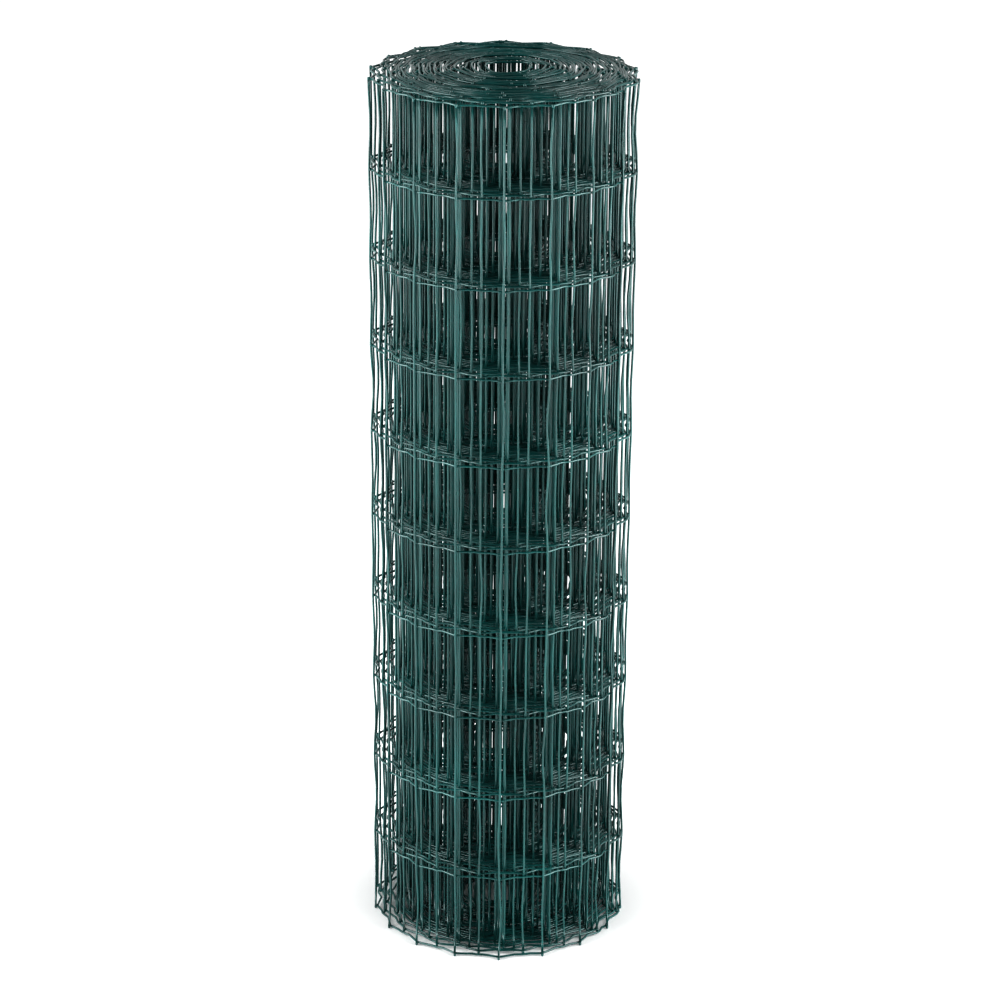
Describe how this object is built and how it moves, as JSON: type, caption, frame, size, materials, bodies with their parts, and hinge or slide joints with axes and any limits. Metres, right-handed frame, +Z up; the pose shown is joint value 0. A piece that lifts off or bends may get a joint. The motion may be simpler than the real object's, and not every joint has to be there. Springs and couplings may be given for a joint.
{
  "type": "roll of welded wire fencing",
  "caption": "Standing spiral-wound roll of green plastic-coated welded wire mesh with upright oblong cells, crimped line wires and an open centre.",
  "frame": {"origin": "on the roll's axis, at the level of the floor it stands on", "axes": "+Z up along the roll's axis; the solid is turned about it, and the mesh's free outer end is at the back, on the +Y and -X side"},
  "size_m": [0.3, 0.2998, 1.014],
  "materials": {
    "coated_wire": "satin-gloss dark green plastic coating over steel wire"
  },
  "bodies": {
    "root": {"mesh_roll": "coated_wire"}
  },
  "joints": []
}
